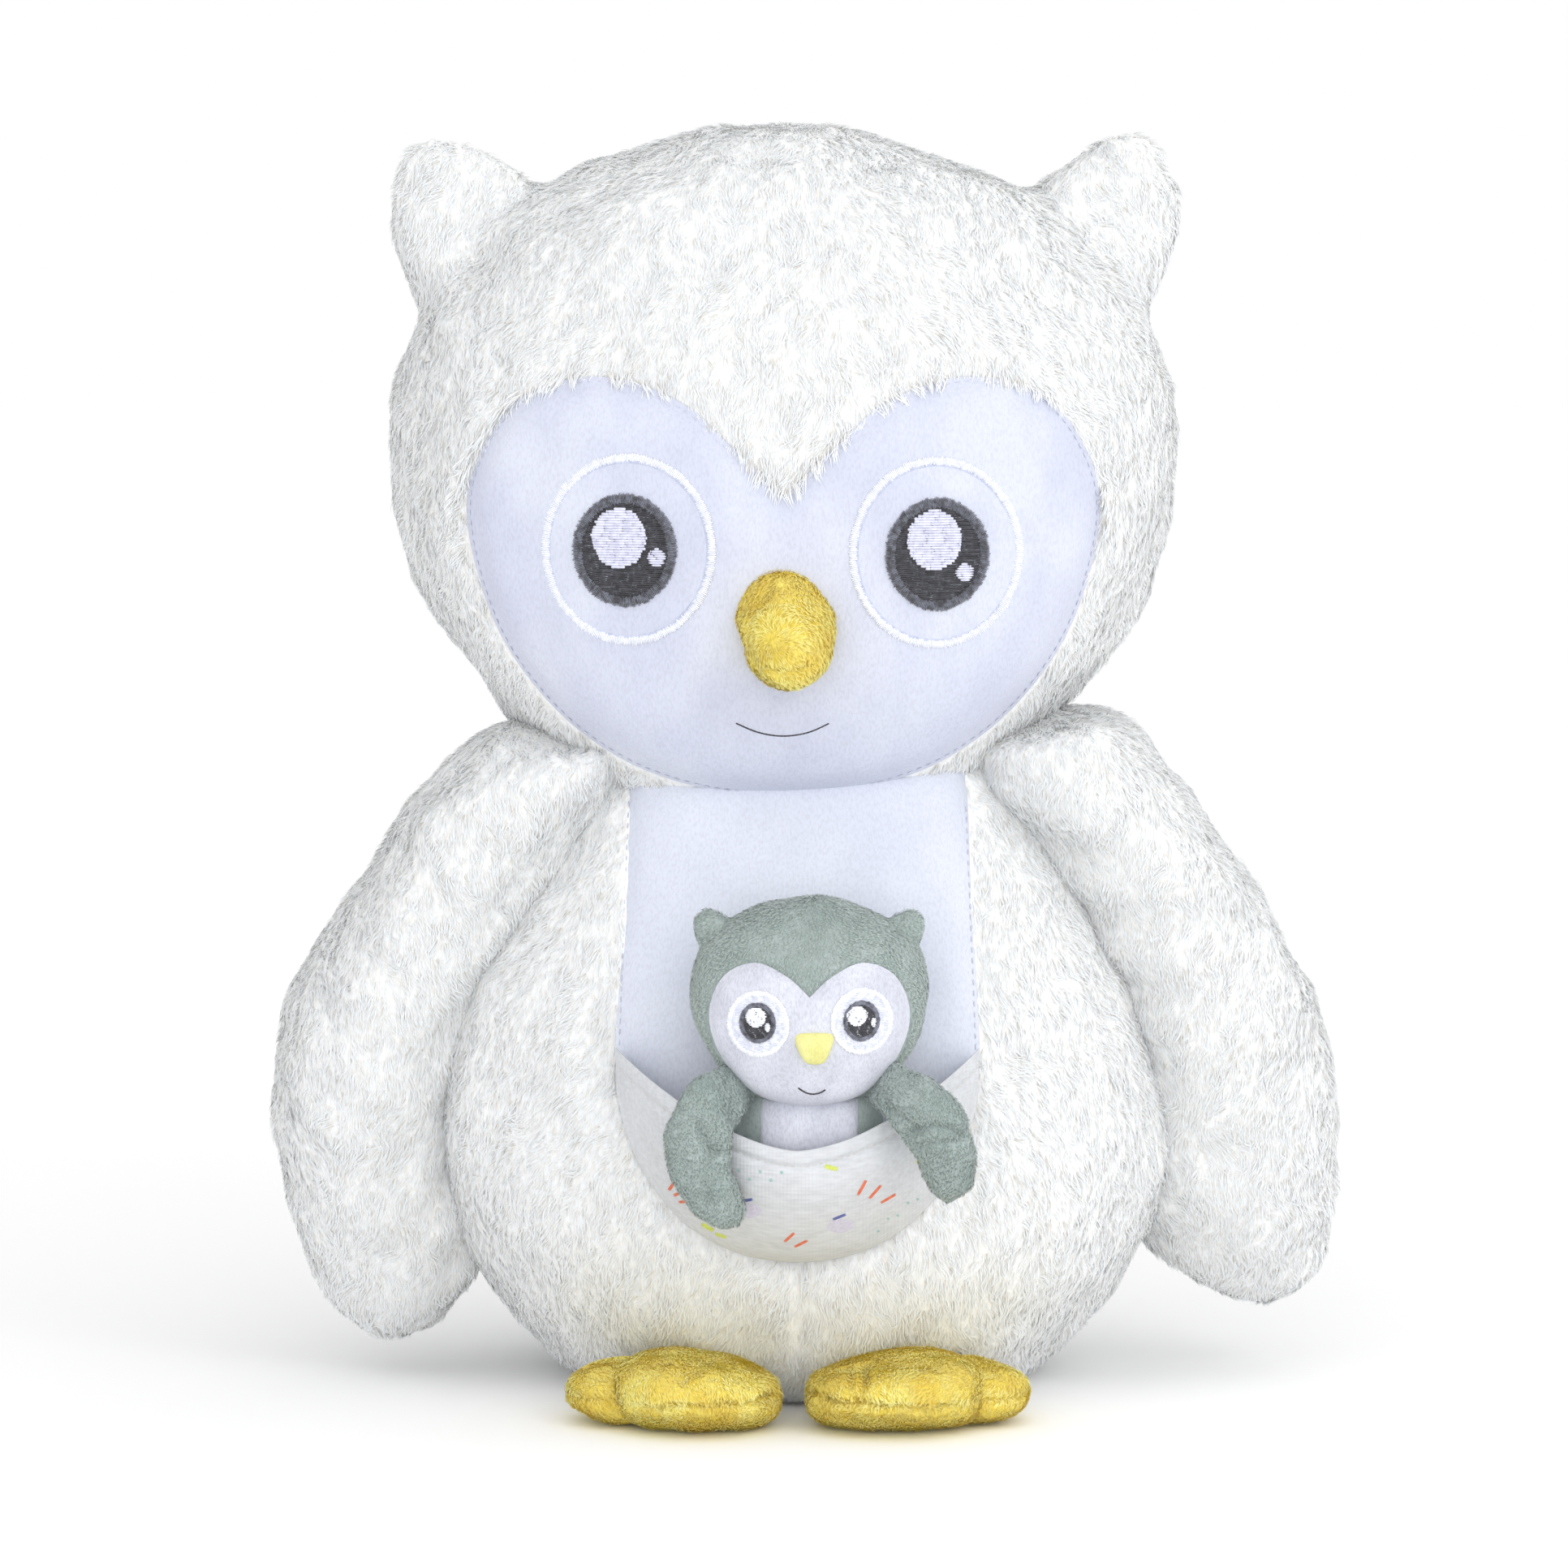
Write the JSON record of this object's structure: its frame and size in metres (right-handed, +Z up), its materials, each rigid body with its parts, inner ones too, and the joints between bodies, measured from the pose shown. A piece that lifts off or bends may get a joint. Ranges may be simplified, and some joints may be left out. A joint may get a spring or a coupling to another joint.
{
  "type": "plush toy",
  "caption": "Upright stuffed white owl with ear tufts, a heart-shaped face panel, hanging wings and a belly pouch that holds a small removable baby owl.",
  "frame": {"origin": "centre of the flat base panel", "axes": "+Z up, the face looks along -Y, +X is the owl's left, the viewer's right"},
  "size_m": [0.3324, 0.2205, 0.3935],
  "materials": {
    "white_fur": "short shaggy pile",
    "smooth_velour": "short smooth pile",
    "fibre_filling": "loose polyester fibre",
    "gold_velour": "short pile",
    "sage_velour": "short pile",
    "pale_yellow_velour": "short pile",
    "printed_cotton": "plain weave with a small print",
    "white_thread": "satin stitch",
    "dark_thread": "fill stitch"
  },
  "bodies": {
    "mother": {"body_cover_right": "white_fur", "body_cover_left": "white_fur", "base_panel": "white_fur", "body_filling": "fibre_filling", "belly_panel": "smooth_velour", "head_cover_front": "white_fur", "head_cover_back": "white_fur", "head_filling": "fibre_filling", "face_panel": "smooth_velour", "eye_ring_right": "white_thread", "eye_ring_left": "white_thread", "iris_right": "dark_thread", "iris_left": "dark_thread", "beak": "gold_velour", "ear_tuft_right": "white_fur", "ear_tuft_left": "white_fur", "foot_right": "gold_velour", "foot_left": "gold_velour", "pouch_front": "printed_cotton", "pouch_hem": "printed_cotton"},
    "wing_right": {"wing_right": "white_fur"},
    "wing_left": {"wing_left": "white_fur"},
    "baby": {"baby_head": "sage_velour", "baby_face_panel": "smooth_velour", "baby_ear_right": "sage_velour", "baby_ear_left": "sage_velour", "baby_eye_right": "white_thread", "baby_eye_left": "white_thread", "baby_beak": "pale_yellow_velour", "baby_body": "sage_velour", "baby_belly_panel": "smooth_velour"},
    "baby_wing_right": {"baby_wing_right": "sage_velour"},
    "baby_wing_left": {"baby_wing_left": "sage_velour"}
  },
  "joints": [
    {"name": "wing_right_lift", "type": "hinge", "parent": "mother", "child": "wing_right", "pos_m": [-0.086, 0, 0.209], "axis": [0, 1, 0], "range_deg": [0, 70]},
    {"name": "wing_left_lift", "type": "hinge", "parent": "mother", "child": "wing_left", "pos_m": [0.086, 0, 0.209], "axis": [0, -1, 0], "range_deg": [0, 70]},
    {"name": "baby_lift_out", "type": "slide", "parent": "mother", "child": "baby", "axis": [0, 0, 1], "range_m": [0, 0.06]},
    {"name": "baby_wing_right_lift", "type": "hinge", "parent": "baby", "child": "baby_wing_right", "pos_m": [-0.0195, -0.115, 0.1125], "axis": [0, 1, 0], "range_deg": [0, 60]},
    {"name": "baby_wing_left_lift", "type": "hinge", "parent": "baby", "child": "baby_wing_left", "pos_m": [0.0225, -0.115, 0.1125], "axis": [0, -1, 0], "range_deg": [0, 60]}
  ]
}
